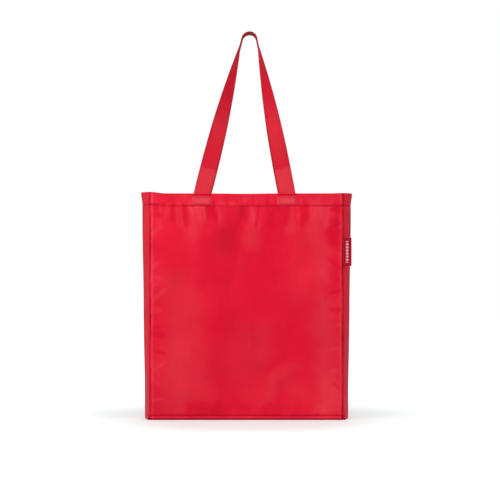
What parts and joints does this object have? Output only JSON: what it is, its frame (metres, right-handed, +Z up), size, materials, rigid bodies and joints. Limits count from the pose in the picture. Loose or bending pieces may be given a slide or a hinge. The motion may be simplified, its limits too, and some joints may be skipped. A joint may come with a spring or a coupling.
{
  "type": "foldable tote bag",
  "caption": "Foldable fabric tote bag with pleated side gussets, standing webbing handles, a side tab label and an inner stow pocket with a press-stud flap.",
  "frame": {"origin": "on the floor below the middle of the bag", "axes": "+Z up, -Y out of the front panel, +X to the right facing the front panel"},
  "size_m": [0.3778, 0.1192, 0.7038],
  "materials": {
    "shell_fabric": "plain-woven polyester, slight sheen",
    "strap_webbing": "fine ribbed webbing",
    "binding_tape": "plain tape",
    "stitch_thread": "twisted polyester thread",
    "label_fabric": "satin label ribbon",
    "care_label_fabric": "blank satin ribbon",
    "stud_metal": "burnished"
  },
  "bodies": {
    "back": {"back_panel": "shell_fabric", "back_left_seam_tape": "binding_tape", "back_right_seam_tape": "binding_tape", "back_base_seam_tape": "binding_tape", "back_handle_left_end": "strap_webbing", "back_handle_right_end": "strap_webbing", "back_handle_bartacks": "stitch_thread", "stow_pocket": "shell_fabric", "pocket_edge_tape": "binding_tape", "pocket_flap_root": "shell_fabric", "snap_stud": "stud_metal", "snap_post": "stud_metal", "care_label": "care_label_fabric", "back_handle_roots": "strap_webbing", "left_corner_tuck": "shell_fabric", "right_corner_tuck": "shell_fabric"},
    "left_gusset_rear": {"left_gusset_back": "shell_fabric"},
    "left_gusset_front": {"left_gusset_front": "shell_fabric"},
    "right_gusset_rear": {"right_gusset_back": "shell_fabric"},
    "right_gusset_front": {"right_gusset_front": "shell_fabric"},
    "base_rear": {"base_back_half": "shell_fabric"},
    "base_front": {"base_front_half": "shell_fabric"},
    "front": {"front_panel": "shell_fabric", "front_left_seam_tape": "binding_tape", "front_right_seam_tape": "binding_tape", "front_base_seam_tape": "binding_tape", "front_handle_left_end": "strap_webbing", "front_handle_right_end": "strap_webbing", "front_handle_bartacks": "stitch_thread", "front_handle_roots": "strap_webbing"},
    "front_handle": {"front_handle_legs": "strap_webbing"},
    "front_handle_top": {"front_handle_arch": "strap_webbing"},
    "rear_handle": {"back_handle_legs": "strap_webbing"},
    "rear_handle_top": {"back_handle_arch": "strap_webbing"},
    "side_label": {"side_label": "label_fabric"},
    "pocket_flap": {"pocket_flap": "shell_fabric", "snap_cap": "stud_metal", "snap_socket": "stud_metal"}
  },
  "joints": [
    {"name": "fold", "type": "hinge", "parent": "back", "child": "left_gusset_rear", "pos_m": [-0.174, 0.0536, 0], "axis": [0, 0, 1], "range_deg": [0, 92], "deforming": ["left_corner_tuck", "right_corner_tuck"]},
    {"name": "left_crease", "type": "hinge", "parent": "left_gusset_rear", "child": "left_gusset_front", "pos_m": [-0.188, 0, 0], "axis": [0, 0, 1], "range_deg": [-184, 0]},
    {"name": "front_left_seam", "type": "hinge", "parent": "left_gusset_front", "child": "front", "pos_m": [-0.174, -0.0536, 0], "axis": [0, 0, 1], "range_deg": [0, 92]},
    {"name": "back_right_seam", "type": "hinge", "parent": "back", "child": "right_gusset_rear", "pos_m": [0.174, 0.0536, 0], "axis": [0, 0, 1], "range_deg": [-92, 0]},
    {"name": "right_crease", "type": "hinge", "parent": "right_gusset_rear", "child": "right_gusset_front", "pos_m": [0.188, 0, 0], "axis": [0, 0, 1], "range_deg": [0, 184]},
    {"name": "back_base_seam", "type": "hinge", "parent": "back", "child": "base_rear", "pos_m": [0, 0.0536, 0.0003], "axis": [1, 0, 0], "range_deg": [-76.93, 0]},
    {"name": "base_crease", "type": "hinge", "parent": "base_rear", "child": "base_front", "pos_m": [0, 0, 0.0003], "axis": [1, 0, 0], "range_deg": [0, 153.86]},
    {"name": "front_handle_swing", "type": "hinge", "parent": "front", "child": "front_handle", "pos_m": [0, -0.0546, 0.412], "axis": [1, 0, 0], "range_deg": [0, 168]},
    {"name": "front_handle_bend", "type": "hinge", "parent": "front_handle", "child": "front_handle_top", "pos_m": [0, -0.053, 0.509], "axis": [1, 0, 0], "range_deg": [0, 13]},
    {"name": "rear_handle_swing", "type": "hinge", "parent": "back", "child": "rear_handle", "pos_m": [0, 0.0546, 0.412], "axis": [-1, 0, 0], "range_deg": [0, 168]},
    {"name": "rear_handle_bend", "type": "hinge", "parent": "rear_handle", "child": "rear_handle_top", "pos_m": [0, 0.053, 0.509], "axis": [1, 0, 0], "range_deg": [-13, 0]},
    {"name": "side_label_flap", "type": "hinge", "parent": "front", "child": "side_label", "pos_m": [0.174, -0.0554, 0.3035], "axis": [0, 0, -1], "range_deg": [0, 170]},
    {"name": "pocket_flap_hinge", "type": "hinge", "parent": "back", "child": "pocket_flap", "pos_m": [0, 0.0536, 0.352], "axis": [-1, 0, 0], "range_deg": [0, 150]}
  ],
  "couplings": [
    {"joint": "left_crease", "follows": "fold", "ratio": -2},
    {"joint": "front_left_seam", "follows": "fold", "ratio": 1},
    {"joint": "back_right_seam", "follows": "fold", "ratio": -1},
    {"joint": "right_crease", "follows": "fold", "ratio": 2},
    {"joint": "back_base_seam", "follows": "fold", "ratio": -0.8362},
    {"joint": "base_crease", "follows": "fold", "ratio": 1.6724},
    {"joint": "front_handle_bend", "follows": "fold", "ratio": 0.14129},
    {"joint": "rear_handle_bend", "follows": "fold", "ratio": -0.14129}
  ]
}
